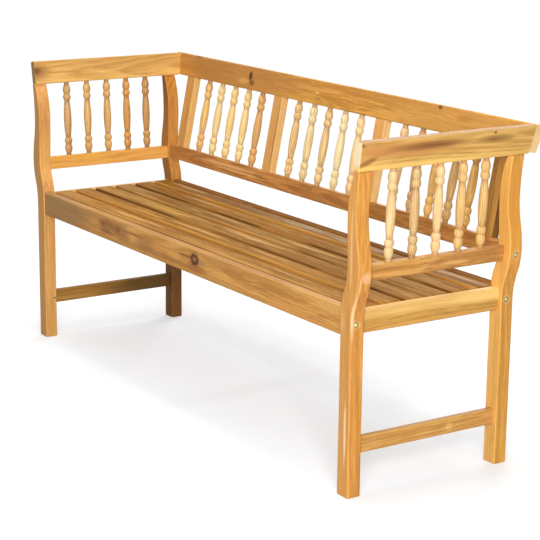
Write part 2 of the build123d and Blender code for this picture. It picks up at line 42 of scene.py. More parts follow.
bpy.context.scene.collection.objects.link(viewpoint)
bpy.context.scene.camera = viewpoint


# Posts: S-shaped boards, foot to arm, sawn from straight-grained timber with the grain upright.
# Every wooden piece has grain of its own, laid out from its own middle: x runs along the grain, y
# across the broad face, and z out of it.
class Strand:
    """A number, vector or colour on its way through the nodes of one material."""

    def __init__(self, tree, socket=None):
        self.tree, self.socket = tree, socket

    def node(self, kind, settings, inputs, output=0):
        made = self.tree.nodes.new("ShaderNode" + kind)
        for name, value in settings.items():
            setattr(made, name, value)
        for name, value in inputs.items():
            if isinstance(value, Strand):
                self.tree.links.new(value.socket, made.inputs[name])
            else:
                made.inputs[name].default_value = value
        return Strand(self.tree, made.outputs[output] if made.outputs else None)

    def beside(self, output):
        """Another output of the node that this strand comes from."""
        return Strand(self.tree, self.socket.node.outputs[output])

    def sum(self, operation, *values):
        return self.node("Math", {"operation": operation}, dict(enumerate(values)))

    def __add__(self, other):
        return self.sum("ADD", self, other)

    def __sub__(self, other):
        return self.sum("SUBTRACT", self, other)

    def __rsub__(self, other):
        return self.sum("SUBTRACT", other, self)

    def __mul__(self, other):
        return self.sum("MULTIPLY", self, other)

    def __pow__(self, other):
        return self.sum("POWER", self, other)

    def __abs__(self):
        return self.sum("ABSOLUTE", self)

    __radd__, __rmul__ = __add__, __mul__

    def between(self, low, high):
        """Smooth step that is 0 at low and 1 at high."""
        limits = {"Value": self, "From Min": low, "From Max": high}
        return self.node("MapRange", {"interpolation_type": "SMOOTHSTEP"}, limits)

    def tint(self, first, second):
        """A colour that goes from the first at 0 to the second at 1."""
        share, colour_a, colour_b, mixed = 0, 6, 7, 2  # the colour mix's own sockets
        inputs = {share: self, colour_a: first, colour_b: second}
        return self.node("Mix", {"data_type": "RGBA", "clamp_factor": True}, inputs, mixed)

    def towards(self, colour, share):
        """This colour, turned towards another by a share."""
        return share.tint(self, colour)

    def blend(self, first, second):
        """A shader that goes from the first at 0 to the second at 1."""
        return self.node("MixShader", {}, {0: self, 1: first, 2: second})

    def along(self, direction):
        """How far a vector points along a direction, from -1 to 1."""
        vectors = {0: self, 1: direction}
        return self.node("VectorMath", {"operation": "DOT_PRODUCT"}, vectors, "Value")

    def stretched(self, scales, shift=(0.0, 0.0, 0.0)):
        return self.node("Mapping", {}, {"Vector": self, "Location": shift, "Scale": scales})

    def noise(self, detail=3.0, roughness=0.5):
        inputs = {"Vector": self, "Scale": 1.0, "Detail": detail, "Roughness": roughness}
        return self.node("TexNoise", {}, inputs)

    def parts(self):
        split = self.node("SeparateXYZ", {}, {"Vector": self})
        return [split.beside(axis) for axis in "XYZ"]


def emptied(owner):
    """The bare node tree of a new material or world, as a strand that its nodes start from."""
    owner.use_nodes = True
    owner.node_tree.nodes.clear()
    return Strand(owner.node_tree)


def stain(red, green, blue, strength=1.0):
    """A colour as it looks on a screen, 0 to 255, as the light that a surface sends back."""
    screen = [part / 255 for part in (red, green, blue)]
    light = [((s + 0.055) / 1.055) ** 2.4 if s > 0.04045 else s / 12.92 for s in screen]
    return tuple(min(1.0, strength * part) for part in light) + (1.0,)


def varied(tone, red, green, blue):
    """The stain of a tone with its three parts each multiplied."""
    return stain(tone[0] * red, tone[1] * green, tone[2] * blue)


def darker(light, red, green, blue):
    """A stain's light with its three parts each taken down to a share."""
    return (light[0] * red, light[1] * green, light[2] * blue, 1.0)


def dress(name, finish):
    """Give a solid its finish in every slot."""
    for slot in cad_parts[name].material_slots:
        slot.material = finish


def board_turn(along, across):
    """The turn that lays x along a board's grain and y across its face."""
    along, across = Vector(along).normalized(), Vector(across).normalized()
    return Matrix((along, across, along.cross(across))).transposed().to_euler()


def distance(run, rise, squash=None):
    """Distance from the middle of a round spot, or of a long one whose run counts for less."""
    run_squared = run * run * squash if squash else run * run
    return (run_squared + rise * rise) ** 0.5


# All of these are in a board's own axes. A band fades in across the board from begin to end, a mark
# is a soft smudge, and the shades are colours as they look on a screen.
Rings = namedtuple("Rings", "pith climb spacing strength")
Face = namedtuple("Face", "direction shade strength")
Band = namedtuple("Band", "begin end shade strength climb", defaults=(0.0,))
Mark = namedtuple("Mark", "at size shade strength climb", defaults=(0.0,))
Knot = namedtuple("Knot", "at size")


def bolt_hole(x, y, rim_shade):
    """The counterbore of a bolt: a pale rim round a dark bore, whose dark is painted shadow in the
    recess.
    """
    # The dark bore is painted shadow in the recess.
    rim, bore_shadow = (0.012, 0.012), (0.0085, 0.0085)
    return Mark((x, y), rim, rim_shade, 0.6), Mark((x, y), bore_shadow, (112, 74, 36), 0.8)


def timber(name, along, across, tone, seed, contrast=1.0, rings=None, faces=(), bands=(), marks=(),
           knots=(), edge_marks=(), unmarked_sides=(), worn_and_highlight=0.35, ends=0.5, roughness=0.5, shine=0.25,
           turned=False):
    """Oiled hardwood for one board: streaks, pores and clouds along its grain, growth rings, edges
    worn pale with a painted highlight, painted shade in the grooves of turned work, and by their
    places the faces, bands, marks and knots that set it apart, some of them painted shade and some
    painted light. Marks go right through the broad faces, edge marks lie on the two faces that look
    along y."""
    low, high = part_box(name)
    wood = bpy.data.materials.new(name + "_wood")
    start = emptied(wood)
    turn = board_turn(along, across)
    where = start.node("TexCoord", {}, {}, "Object")
    own_axes = {"vector_type": "TEXTURE"}
    middle = (low + high) / 2
    place = start.node("Mapping", own_axes, {"Vector": where, "Location": middle, "Rotation": turn})
    x, y, z = place.parts()
    outward = where.beside("Normal")
    outward = start.node("Mapping", own_axes, {"Vector": outward, "Rotation": turn})
    facing = [abs(part) for part in outward.parts()]

    # The grain wanders a little from straight and runs round the knots.
    wander = place.stretched((2.6, 7.0, 7.0), (seed, seed * 0.7, 0.0)).noise(2.0) - 0.5
    level = y
    for knot in knots:
        knot_x, knot_y = knot.at
        bow = distance(x - knot_x, y - knot_y, 0.12).between(knot.size * 4.0, 0.0)
        level = level - (y - knot_y) * bow * 0.7
    wavy_y, wavy_z = level + wander * 0.035, z + wander * 0.03
    bent = start.node("CombineXYZ", {}, {"X": x, "Y": wavy_y, "Z": wavy_z})

    # Clouds, streaks, fibres and pores, from the broadest to the finest, in waves per metre along
    # and across the grain. Depth is how dark they make the wood together, from 0 to 1.
    cloud = bent.stretched((1.8, 24.0, 24.0), (seed, 0.0, seed * 0.3)).noise(2.0)
    streak = bent.stretched((5.5, 110.0, 110.0), (0.0, seed, 0.0)).noise(4.0, 0.68)
    fibre = bent.stretched((15.0, 300.0, 300.0), (0.0, 0.0, seed)).noise(3.0, 0.7)
    pore = bent.stretched((62.0, 1500.0, 1500.0), (seed, seed, 0.0)).noise(2.0, 0.6)
    cloud_weight, streak_weight, fibre_weight = 1.5 * contrast, 1.6 * contrast, 1.5 * contrast
    depth = (cloud - 0.5) * cloud_weight + (streak - 0.5) * streak_weight
    depth = depth + (fibre - 0.5) * fibre_weight + 0.5
    if rings:
        pith_y, pith_z = rings.pith
        over, under = level - pith_y + wander * 0.03, z - pith_z - x * rings.climb
        radius = distance(over, under) + (streak - 0.5) * (rings.spacing * 0.6)
        year = start.sum("FRACT", radius * (1.0 / rings.spacing))
        late_wood = year.between(0.15, 0.85) - year.between(0.86, 1.0)
        depth = depth + (late_wood - 0.4) * rings.strength

    # Pale to deep by depth, turned a little golden here and a little brown there.
    own = stain(*tone)
    most_light = 1.24  # of the tone's own, where the wood is palest
    pale = stain(*tone, min(most_light, 1.0 / own[0]))
    deep = darker(own, 0.76, 0.68, 0.58)
    colour = depth.between(0.0, 1.0).tint(pale, deep)
    patch = bent.stretched((4.0, 15.0, 15.0), (seed * 2.0, seed, 0.0)).noise(2.0)
    colour = colour.towards(varied(tone, 1.03, 1.04, 0.88), patch.between(0.5, 0.72) * 0.5)
    colour = colour.towards(varied(tone, 0.96, 0.88, 0.8), patch.between(0.5, 0.3) * 0.35)

    # Sawn ends are paler, then come the faces and bands with a tone of their own; some faces are
    # painted shade and some painted light on the side that looks one way.
    if ends:
        tip = facing[0].between(0.8, 0.95) * ends * (fibre.between(0.75, 0.3) * 0.5 + 0.5)
        colour = colour.towards(varied(tone, 1.04, 1.16, 1.35), tip)
    for face in faces:
        share = outward.along(face.direction).between(0.55, 0.85)
        share = share * (depth.between(1.2, 0.1) * 0.35 + 0.65) * face.strength
        colour = colour.towards(stain(*face.shade), share)
    for band in bands:
        line = level - x * band.climb + wander * 0.02 + (streak - 0.5) * 0.012
        share = line.between(band.begin, band.end) * (patch.between(0.3, 0.6) * 0.6 + 0.4)
        colour = colour.towards(stain(*band.shade), share * band.strength)

    # Marks keep off the sawn ends and the sides that are left unmarked.
    allowed = facing[0].between(0.95, 0.7)
    for direction in unmarked_sides:
        allowed = allowed * outward.along(direction).between(0.85, 0.55)
    for mark in marks:
        (mark_x, mark_y), (length, width) = mark.at, mark.size
        run = (x - mark_x) * (1.0 / length)
        rise = (y - mark_y - (x - mark_x) * mark.climb) * (1.0 / width)
        edge = distance(run, rise) + (streak - 0.5) * 0.9 + (fibre - 0.5) * 0.6
        share = edge.between(1.15, 0.4) * allowed * mark.strength
        colour = colour.towards(stain(*mark.shade), share)
    for mark in edge_marks:
        (mark_x, mark_z), (length, width) = mark.at, mark.size
        run, rise = (x - mark_x) * (1.0 / length), (z - mark_z) * (1.0 / width)
        edge = distance(run, rise) + (streak - 0.5) * 0.6 + (fibre - 0.5) * 1.0
        share = edge.between(1.15, 0.5) * facing[1].between(0.6, 0.9) * mark.strength
        colour = colour.towards(stain(*mark.shade), share)

    # Open pores and the darkest fibres hold more of the oil.
    colour = colour.towards(darker(deep, 0.45, 0.45, 0.45), pore.between(0.58, 0.72) * 0.32)
    colour = colour.towards(darker(deep, 0.4, 0.4, 0.4), fibre.between(0.66, 0.8) * 0.3 * contrast)

    # Knots: a brown halo, a dark rim, a paler heart and a crack across it.
    for knot in knots:
        (knot_x, knot_y), size = knot.at, knot.size
        ragged = (place.stretched((260.0, 260.0, 260.0)).noise(2.0) - 0.5) * size * 0.9
        edge = distance(x - knot_x, y - knot_y, 0.6) + ragged
        for shade, outside, inside, strength in (
            ((150, 92, 44), 1.9, 1.0, 0.5),
            ((74, 38, 18), 1.15, 0.85, 0.9),
            ((190, 130, 74), 0.62, 0.3, 0.8),
        ):
            share = edge.between(size * outside, size * inside) * strength
            colour = colour.towards(stain(*shade), share)
        crack = abs(x - knot_x + (y - knot_y) * 0.4).between(size * 0.2, 0.0)
        crack = crack * edge.between(size * 0.9, size * 0.5) * 0.9
        colour = colour.towards(stain(60, 30, 14), crack)

    # The grooves of turned work are darkened with painted shade, and corners wear pale in places,
    # a paleness that also paints the highlight along the rounded edges.
    if turned:
        unshaded_radius, groove_radius = 0.0088, 0.0068
        # Painted shade in the grooves, deepest where the turning is narrowest.
        groove_shade = distance(y, z).between(unshaded_radius, groove_radius) * 0.5
        colour = colour.towards(darker(deep, 0.62, 0.5, 0.4), groove_shade)
    if worn_and_highlight:
        square = start.sum("MAXIMUM", facing[0], start.sum("MAXIMUM", facing[1], facing[2]))
        rubbed = place.stretched((26.0, 70.0, 70.0)).noise(3.0).between(0.36, 0.62) * 0.8 + 0.2
        # Pale corners: partly wear, partly a painted highlight on the rounded edges.
        corner = square.between(0.97, 0.8) * rubbed * worn_and_highlight
        colour = colour.towards(varied(tone, 1.09, 1.15, 1.2), corner)

    height = fibre * 0.7 + pore * 0.5 - depth * 0.3
    relief = start.node("Bump", {}, {"Strength": 0.3, "Distance": 0.0005, "Height": height})
    shader = start.node("BsdfPrincipled", {}, {
        "Base Color": colour,
        "Roughness": fibre * 0.25 + depth * 0.06 + (roughness - 0.16),
        "Normal": relief,
        "Specular IOR Level": shine,
    })
    start.node("OutputMaterial", {}, {"Surface": shader})
    dress(name, wood)


# The posts' marks are pale rubbed patches, streaks down the front arris, and a pale rim with a dark
# bore at each bolt, the bore's dark being painted shadow in the recess. The left rear post is dark
# low down, on its front and its inner side, with painted shade from the seat.
upright, sideways, lengthwise = (0.0, 0.0, 1.0), (0.0, 1.0, 0.0), (1.0, 0.0, 0.0)
front_face, rear_face, left_face = (0.0, -1.0, 0.0), (0.0, 1.0, 0.0), (0.0, 0.0, 1.0)
timber(
    "front_post_right", upright, sideways, tone=(210, 148, 71), seed=3.1, contrast=0.8,
    rings=Rings(pith=(0.03, -0.06), climb=0.02, spacing=0.009, strength=0.25),
    faces=(Face(front_face, shade=(214, 156, 90), strength=0.5),),
    marks=(
        Mark(at=(0.132, 0.004), size=(0.014, 0.013), shade=(242, 198, 154), strength=0.5),
        *bolt_hole(0.028, -0.004, rim_shade=(244, 204, 146)),
        Mark(at=(0.075, 0.002), size=(0.03, 0.012), shade=(206, 132, 70), strength=0.4),
        Mark(at=(0.085, -0.012), size=(0.075, 0.003), shade=(248, 212, 164),
             strength=0.55, climb=0.06),
        Mark(at=(0.04, -0.013), size=(0.06, 0.004), shade=(246, 210, 160), strength=0.5),
    ),
    edge_marks=(
        Mark(at=(-0.215, 0.006), size=(0.085, 0.0045), shade=(250, 220, 176), strength=0.85),
        Mark(at=(-0.09, 0.004), size=(0.06, 0.002), shade=(196, 130, 74), strength=0.6),
        Mark(at=(0.2, -0.004), size=(0.1, 0.003), shade=(248, 210, 156), strength=0.5),
    ),
)
timber(
    "front_post_left", upright, sideways, tone=(220, 164, 95), seed=7.7,
    contrast=0.7, worn_and_highlight=0.4,
    rings=Rings(pith=(-0.02, -0.07), climb=0.03, spacing=0.009, strength=0.15),
    # Painted shade on the front face, which looks away from the light.
    faces=(Face(front_face, shade=(196, 142, 80), strength=0.7),),
)
timber(
    "rear_post_right", upright, sideways, tone=(212, 156, 75), seed=11.9,
    contrast=0.8, worn_and_highlight=0.4,
    rings=Rings(pith=(0.03, -0.05), climb=0.01, spacing=0.01, strength=0.2),
    # Painted light on the front face, which looks towards the light.
    faces=(Face(front_face, shade=(255, 196, 108), strength=0.7),),
    marks=(
        Mark(at=(0.22, 0.002), size=(0.16, 0.03), shade=(218, 146, 58), strength=0.6),
        *bolt_hole(0.028, -0.002, rim_shade=(246, 206, 150)),
        *bolt_hole(0.1336, 0.0005, rim_shade=(246, 206, 150)),
        Mark(at=(0.1, -0.006), size=(0.05, 0.005), shade=(214, 142, 66), strength=0.5, climb=0.1),
    ),
)
timber(
    "rear_post_left", upright, sideways, tone=(196, 134, 57), seed=17.3, worn_and_highlight=0.3,
    rings=Rings(pith=(0.02, -0.06), climb=0.03, spacing=0.008, strength=0.4),
    # Painted shade: the front face is darkened all up its height.
    faces=(Face(front_face, shade=(138, 80, 20), strength=0.9),),
    marks=(
        Mark(at=(0.17, 0.004), size=(0.16, 0.03), shade=(214, 150, 78), strength=0.6),
        # Painted shade from the seat over the lower part of the front and inner sides.
        Mark(at=(-0.28, 0.0), size=(0.24, 0.1), shade=(106, 68, 34), strength=0.85),
        Mark(at=(-0.1, 0.0), size=(0.12, 0.1), shade=(118, 76, 38), strength=0.7),
    ),
    # The painted shade stays off the rear and the outer side.
    unmarked_sides=(rear_face, left_face),
)

# Leg stretchers: low rails between front and rear leg, tenoned and pinned. The left one is olive
# brown, darkened to the rear with painted shade from the seat, the right one is orange brown round
# a pale knot.
timber(
    "leg_stretcher_left", sideways, upright, tone=(172, 128, 60), seed=2.3, contrast=1.8,
    rings=Rings(pith=(0.02, -0.03), climb=0.04, spacing=0.007, strength=0.4),
    marks=(
        # Painted shade from the seat over the rear part.
        Mark(at=(0.17, 0.0), size=(0.24, 0.05), shade=(96, 68, 28), strength=0.9),
        Mark(at=(-0.12, -0.008), size=(0.09, 0.006), shade=(196, 144, 78),
             strength=0.5, climb=0.02),
    ),
)
timber(
    "leg_stretcher_right", sideways, upright, tone=(204, 153, 84), seed=5.9,
    rings=Rings(pith=(-0.03, -0.03), climb=0.03, spacing=0.005, strength=0.3),
    marks=(
        Mark(at=(0.06, -0.002), size=(0.012, 0.013), shade=(240, 196, 126), strength=0.45),
        Mark(at=(-0.08, 0.004), size=(0.07, 0.004), shade=(190, 124, 60), strength=0.6, climb=0.02),
        Mark(at=(0.11, 0.006), size=(0.05, 0.003), shade=(168, 112, 54), strength=0.6),
    ),
)

# Side rails of the seat: straight boards dowelled between the posts, yellow along the top where the
# sapwood is and browner below.
for side, seed in (("left", 4.1), ("right", 8.3)):
    timber(
        "seat_side_rail_" + side, sideways, upright, tone=(188, 142, 71), seed=seed, worn_and_highlight=0.6,
        rings=Rings(pith=(-0.05, -0.02), climb=0.02, spacing=0.008, strength=0.3),
        bands=(
            Band(begin=-0.006, end=0.010, shade=(250, 204, 124), strength=0.85),
            Band(begin=-0.008, end=-0.022, shade=(220, 158, 84), strength=0.6),
        ),
    )

# Lower rails of the arms: narrow boards tenoned between the posts, leaning with the spindles that
# stand in them. The right one is streaked brown.
timber("arm_lower_rail_left", sideways, upright, tone=(225, 167, 85), seed=6.1, contrast=0.7)
timber(
    "arm_lower_rail_right", sideways, upright, tone=(193, 141, 77), seed=1.3, contrast=2.0,
    rings=Rings(pith=(0.02, -0.03), climb=0.03, spacing=0.006, strength=0.4),
    marks=(
        Mark(at=(-0.12, 0.003), size=(0.06, 0.006), shade=(178, 112, 56), strength=0.6, climb=0.02),
        Mark(at=(0.05, -0.004), size=(0.05, 0.006), shade=(232, 178, 104),
             strength=0.7, climb=-0.02),
        Mark(at=(0.13, 0.002), size=(0.05, 0.005), shade=(176, 112, 58), strength=0.6),
    ),
)

# Long seat rails: bolted to the posts from outside. The front one is greyer at its left end, where
# it is also darkened with painted shade, with brown smudges left of its middle and one big knot
# right of it, and its top face is darkened with painted shade.
top_face = (0.0, 1.0, 0.0)
timber(
    "seat_front_rail", lengthwise, upright, tone=(207, 151, 79), seed=2.9,
    contrast=1.7, worn_and_highlight=0.6,
    rings=Rings(pith=(0.01, -0.02), climb=0.03, spacing=0.006, strength=0.4),
    # Painted shade: the top face, seen in the gap behind the rail, is darkened.
    faces=(Face(top_face, shade=(158, 106, 46), strength=0.9),),
    bands=(
        Band(begin=0.012, end=0.026, shade=(226, 172, 102), strength=0.5),
        Band(begin=-0.014, end=-0.027, shade=(160, 104, 50), strength=0.35),
    ),
    marks=(
        # Greyer wood at the left end, darkened with painted shade as well.
        Mark(at=(-0.62, 0.0), size=(0.2, 0.05), shade=(166, 126, 78), strength=0.85),
        Mark(at=(-0.345, 0.004), size=(0.05, 0.026), shade=(156, 102, 58),
             strength=0.7, climb=0.12),
        Mark(at=(-0.335, -0.01), size=(0.05, 0.005), shade=(132, 82, 42), strength=0.6),
        Mark(at=(-0.362, 0.008), size=(0.012, 0.006), shade=(128, 78, 44), strength=0.6),
        Mark(at=(-0.27, 0.001), size=(0.06, 0.024), shade=(152, 98, 56), strength=0.65, climb=-0.1),
        Mark(at=(-0.282, 0.006), size=(0.014, 0.008), shade=(128, 78, 44), strength=0.6),
        Mark(at=(-0.2, 0.01), size=(0.06, 0.004), shade=(146, 94, 50), strength=0.7),
        Mark(at=(-0.14, -0.0045), size=(0.06, 0.018), shade=(164, 108, 60), strength=0.6),
        Mark(at=(0.065, 0.0085), size=(0.04, 0.004), shade=(140, 88, 44), strength=0.85),
        Mark(at=(0.1425, 0.0059), size=(0.014, 0.009), shade=(172, 136, 104), strength=0.85),
        Mark(at=(0.11, -0.014), size=(0.06, 0.012), shade=(168, 104, 50), strength=0.7),
        Mark(at=(-0.05, -0.016), size=(0.25, 0.007), shade=(160, 106, 54), strength=0.6),
        Mark(at=(0.66, 0.015), size=(0.06, 0.012), shade=(222, 168, 100), strength=0.6),
    ),
    knots=(Knot(at=(0.1046, 0.0075), size=0.014),),
)
timber(
    "seat_back_rail", lengthwise, upright, tone=(166, 113, 57), seed=9.2,
    contrast=2.0, shine=0.03, roughness=0.75,
    rings=Rings(pith=(0.02, -0.04), climb=0.02, spacing=0.008, strength=0.4),
)

# Slats: lengthwise boards, screwed from below through the cleats and the bearer. The second and the
# sixth have bright sapwood along the front edge, the third a pale patch and the sixth grey ones.
# The others' front faces, seen down the gaps, and the front arrises of the third and fifth are
# darkened with painted shade, and lighter patches on the front and rear faces break that shade up.
slat_tones = (
    (171, 123, 55), (158, 112, 43), (165, 122, 57),
    (152, 112, 51), (154, 108, 36), (139, 95, 20),
)
slat_patches = {
    3: (Mark((0.07, 0.004), (0.05, 0.012), (210, 164, 108), strength=0.6, climb=0.1),),
    6: (
        Mark((0.0, 0.006), (0.13, 0.012), (174, 152, 114), strength=0.5),
        Mark((0.20, -0.004), (0.07, 0.010), (180, 156, 114), strength=0.5),
        Mark((0.52, 0.004), (0.06, 0.012), (176, 150, 112), strength=0.5),
    ),
}
for number, tone in enumerate(slat_tones, start=1):
    if number in (2, 6):
        front_shade = (190, 128, 54)
        arris = Band(-0.0150, -0.0215, shade=(222, 160, 72), strength=0.35 + 0.05 * number)
    else:
        # Painted shade on the front face, seen down the gap.
        front_shade = (96, 60, 26)
        # On the third and fifth the dark arris is painted shade of the gap.
        arris_shade = (140, 92, 44) if number in (3, 5) else (206, 152, 84)
        arris = Band(-0.018, -0.0235, shade=arris_shade, strength=0.8)
    # The streaks have other places on each slat.
    streaks = [
        Mark((-0.45 + 0.17 * number, 0.006), (0.16, 0.008), (226, 174, 106), 0.6, climb=0.01),
        Mark((0.50 - 0.16 * number, -0.004), (0.14, 0.006), (140, 90, 44), 0.7),
        Mark((0.62 - 0.2 * number, 0.009), (0.10, 0.005), (214, 168, 112), 0.6),
    ]
    if number < 4:
        shift = 0.004 * (number % 2)
        streaks.append(Mark((-0.33, -0.006 + shift), (0.10, 0.004), (230, 172, 80), 0.7))
    timber(
        f"seat_slat_{number}", lengthwise, sideways, tone, seed=number * 3.7,
        contrast=3.3, worn_and_highlight=0.4, shine=0.1, roughness=0.6,
        rings=Rings(pith=(0.01 * (number % 3 - 1), -0.04), climb=0.02, spacing=0.006, strength=0.8),
        faces=(Face(front_face, front_shade, strength=0.85),),
        bands=(arris,),
        marks=(*streaks, *slat_patches.get(number, ())),
        # Lighter patches that break up the painted shade on the front and rear faces.
        edge_marks=(
            Mark((-0.50 + 0.11 * number, 0.0), (0.13, 0.03), (206, 142, 66), 0.8),
            Mark((0.60 - 0.19 * number, 0.0), (0.10, 0.03), (180, 120, 58), 0.7),
            Mark((0.30 + 0.05 * number, 0.0), (0.07, 0.03), (206, 144, 72), 0.6),
        ),
    )

# Cleats and centre bearer: plain battens of the same timber under the slats, which are screwed to
# them. They are hardly seen.
for name in ("seat_cleat_left", "seat_cleat_right", "seat_centre_bearer"):
    timber(
        name, sideways, upright, tone=(196, 140, 80), seed=5.5,
        rings=Rings(pith=(0.02, -0.03), climb=0.03, spacing=0.006, strength=0.5),
    )

# Arm boards: they lean outward on the posts' tops and butt against the back top rail. The right one
# has a pale front end, long brown smudges, a pin knot and a top darkened with painted shade, the
# left one a front end darkened with painted shade.
front_end = (-1.0, 0.0, 0.0)
timber(
    "arm_board_left", sideways, (-0.1736, 0.0, 0.9848), tone=(216, 170, 98), seed=3.3,
    contrast=0.7, worn_and_highlight=0.5,
    rings=Rings(pith=(-0.009, -0.028), climb=0.045, spacing=0.0075, strength=0.35),
    # Painted shade on the front end, which looks away from the light.
    faces=(Face(front_end, shade=(132, 106, 68), strength=0.85),),
    bands=(Band(begin=-0.024, end=-0.031, shade=(244, 194, 110), strength=0.6),),
    marks=(
        Mark(at=(-0.25, 0.002), size=(0.075, 0.026), shade=(166, 112, 58), strength=0.9),
        Mark(at=(-0.24, 0.004), size=(0.03, 0.012), shade=(112, 70, 36), strength=0.8),
        Mark(at=(-0.16, -0.002), size=(0.06, 0.003), shade=(184, 126, 66), strength=0.7),
        Mark(at=(-0.1036, -0.0078), size=(0.02, 0.008), shade=(200, 134, 74), strength=0.6),
    ),
)
timber(
    "arm_board_right", sideways, (0.1736, 0.0, 0.9848), tone=(207, 164, 92), seed=12.7,
    worn_and_highlight=0.5,
    rings=Rings(pith=(0.02, -0.03), climb=0.03, spacing=0.007, strength=0.4),
    faces=(
        Face(front_end, shade=(250, 230, 192), strength=0.95),
        # Painted shade on the top face.
        Face(top_face, shade=(176, 126, 66), strength=0.9),
    ),
    bands=(
        Band(begin=-0.017, end=-0.026, shade=(240, 196, 108), strength=0.8, climb=-0.01),
    ),
    marks=(
        Mark(at=(-0.1, 0.009), size=(0.16, 0.02), shade=(190, 130, 70), strength=0.8),
        Mark(at=(-0.19, 0.01), size=(0.06, 0.018), shade=(198, 138, 78), strength=0.7, climb=0.1),
        Mark(at=(-0.214, -0.011), size=(0.03, 0.008), shade=(150, 96, 50),
             strength=0.85, climb=0.35),
        Mark(at=(-0.165, 0.006), size=(0.04, 0.008), shade=(184, 126, 70),
             strength=0.65, climb=0.1),
        Mark(at=(-0.06, 0.0125), size=(0.11, 0.01), shade=(148, 98, 54), strength=0.9, climb=0.02),
        Mark(at=(-0.05, 0.0125), size=(0.05, 0.004), shade=(126, 78, 42), strength=0.7),
        Mark(at=(-0.232, 0.026), size=(0.008, 0.006), shade=(140, 92, 50), strength=0.8),
        Mark(at=(0.125, 0.0125), size=(0.06, 0.01), shade=(152, 110, 56), strength=0.85),
        Mark(at=(0.118, 0.012), size=(0.02, 0.003), shade=(124, 84, 44), strength=0.6),
        Mark(at=(0.2237, -0.0222), size=(0.03, 0.01), shade=(214, 176, 88), strength=0.7),
    ),
    knots=(Knot(at=(0.1176, 0.0265), size=0.0022),),
)


# Spindles: turned from pale stock, with a bead and a groove at each end of a swelling body, and set
# in round sockets, five in each arm. The side away from the light at the front right is darkened
# with painted shade.
def spindle(name, along, across, tone, seed, painted_shade_side):
    # Painted shade for the side away from the light.
    shade = (tone[0] * 0.88, tone[1] * 0.78, tone[2] * 0.64)
    timber(
        name, along, across, tone, seed, contrast=0.75, worn_and_highlight=0.0, ends=0.0, roughness=0.44,
        turned=True, rings=Rings(pith=(0.02, -0.012), climb=0.01, spacing=0.0045, strength=0.4),
        faces=(Face(painted_shade_side, shade, strength=0.6),),
    )


arm_tones = {
    "left": ((206, 166, 112), (213, 172, 108), (217, 174, 110), (211, 155, 87), (199, 154, 97)),
    "right": ((236, 202, 151), (201, 168, 117), (241, 199, 144), (214, 174, 114), (220, 180, 117)),
}
arm_lean = {"left": -0.0515, "right": 0.0515}
for side, tones in arm_tones.items():
    lean = arm_lean[side]
    for number, tone in enumerate(tones, start=1):
        name, seed = f"arm_spindle_{side}_{number}", number * 1.9 + lean
        spindle(name, (lean, 0.0, 0.9987), sideways, tone, seed, painted_shade_side=rear_face)

# Back rails: a wide top rail, pale on its cut ends, and a narrow lower rail, both leaning back. The
# top rail has a dark scar left of its middle, a small knot towards its right end, and painted shade
# over its left half.
slope = (0.0, 0.1908, 0.9816)
right_end = (1.0, 0.0, 0.0)
timber(
    "back_top_rail", lengthwise, slope, tone=(218, 159, 74), seed=4.4, contrast=1.8, worn_and_highlight=0.5,
    rings=Rings(pith=(0.01, -0.035), climb=0.02, spacing=0.003, strength=0.3),
    faces=(Face(right_end, shade=(232, 198, 146), strength=0.9),),
    bands=(Band(begin=0.0, end=0.03, shade=(206, 142, 72), strength=0.3),),
    marks=(
        # Painted shade over the left half.
        Mark(at=(-0.47, 0.0), size=(0.42, 0.06), shade=(184, 124, 62), strength=0.75),
        Mark(at=(0.52, -0.004), size=(0.34, 0.05), shade=(218, 160, 84), strength=0.55),
        Mark(at=(-0.6507, 0.03), size=(0.02, 0.006), shade=(120, 76, 38), strength=0.7),
        Mark(at=(-0.4027, -0.0113), size=(0.03, 0.009), shade=(232, 180, 96), strength=0.6),
        Mark(at=(-0.372, 0.006), size=(0.01, 0.014), shade=(76, 42, 18), strength=1.0),
        Mark(at=(-0.362, -0.012), size=(0.014, 0.01), shade=(126, 76, 36), strength=0.85),
        Mark(at=(-0.0531, -0.0016), size=(0.01, 0.004), shade=(238, 196, 128), strength=0.8),
        Mark(at=(-0.0463, -0.0163), size=(0.02, 0.006), shade=(170, 112, 58), strength=0.6),
        Mark(at=(0.5348, 0.0106), size=(0.04, 0.01), shade=(190, 122, 58), strength=0.5, climb=0.1),
    ),
    knots=(Knot(at=(0.4423, 0.0265), size=0.0045),),
)
timber(
    "back_lower_rail", lengthwise, slope, tone=(188, 130, 66), seed=8.8,
    contrast=1.8, worn_and_highlight=0.4,
    rings=Rings(pith=(0.0, -0.03), climb=0.03, spacing=0.005, strength=0.5),
    marks=(
        Mark(at=(-0.42, 0.005), size=(0.2, 0.0035), shade=(232, 178, 120),
             strength=0.9, climb=0.01),
        Mark(at=(-0.33, -0.004), size=(0.14, 0.003), shade=(232, 178, 120), strength=0.85),
        Mark(at=(0.1, -0.002), size=(0.2, 0.006), shade=(170, 106, 56), strength=0.5),
    ),
)

